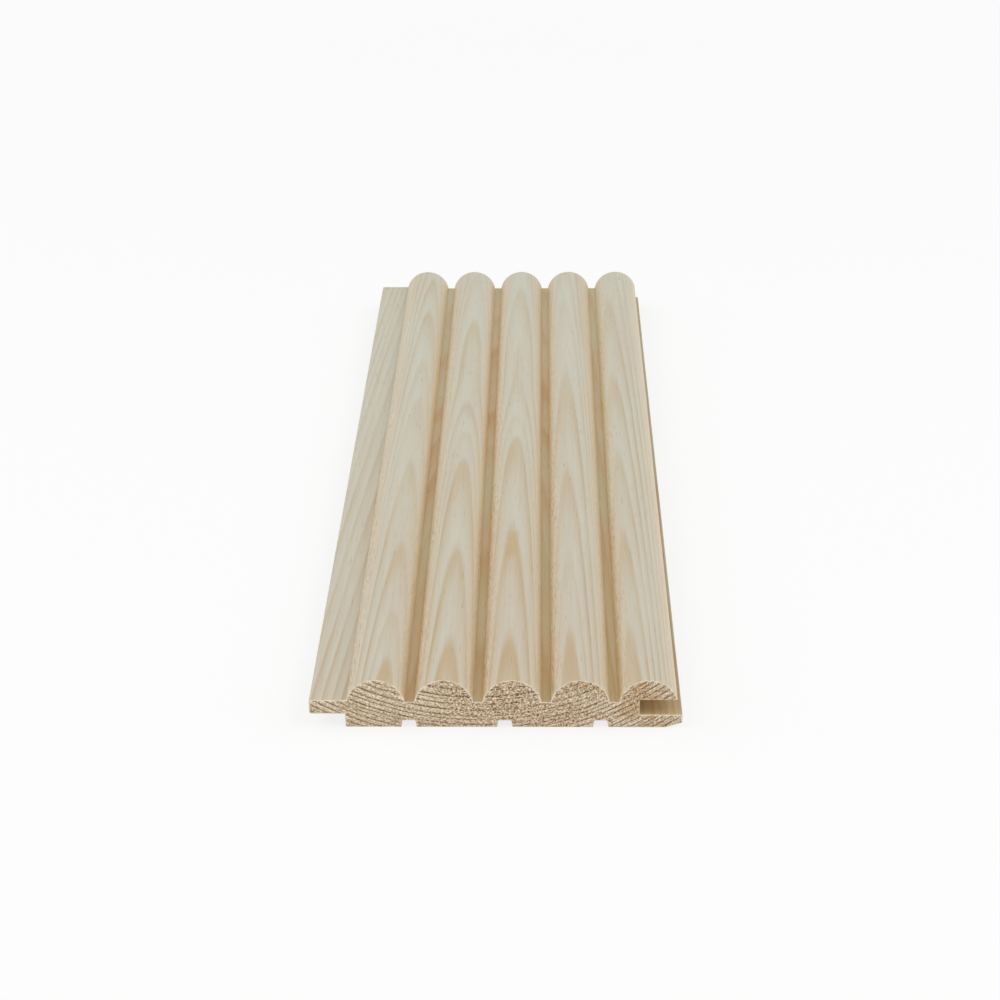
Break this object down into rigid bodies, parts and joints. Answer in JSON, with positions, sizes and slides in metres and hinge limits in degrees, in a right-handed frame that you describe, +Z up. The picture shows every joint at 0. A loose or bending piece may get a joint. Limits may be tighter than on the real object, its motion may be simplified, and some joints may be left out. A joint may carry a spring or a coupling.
{
  "type": "pine panelling board",
  "caption": "Sample length of pine panelling: a face of half-round reeds, a tongue along one edge, a groove along the other and shallow relief grooves in the back.",
  "frame": {"origin": "centre of the bottom of the bounding box, on the board's back, at mid length", "axes": "+X across the board, from the tongue to the groove; +Y along the board; +Z up out of the reeded face, the board lying flat on its back"},
  "size_m": [0.096, 0.3, 0.014],
  "materials": {
    "pine": "planed, unfinished"
  },
  "bodies": {
    "root": {"board": "pine"}
  },
  "joints": []
}
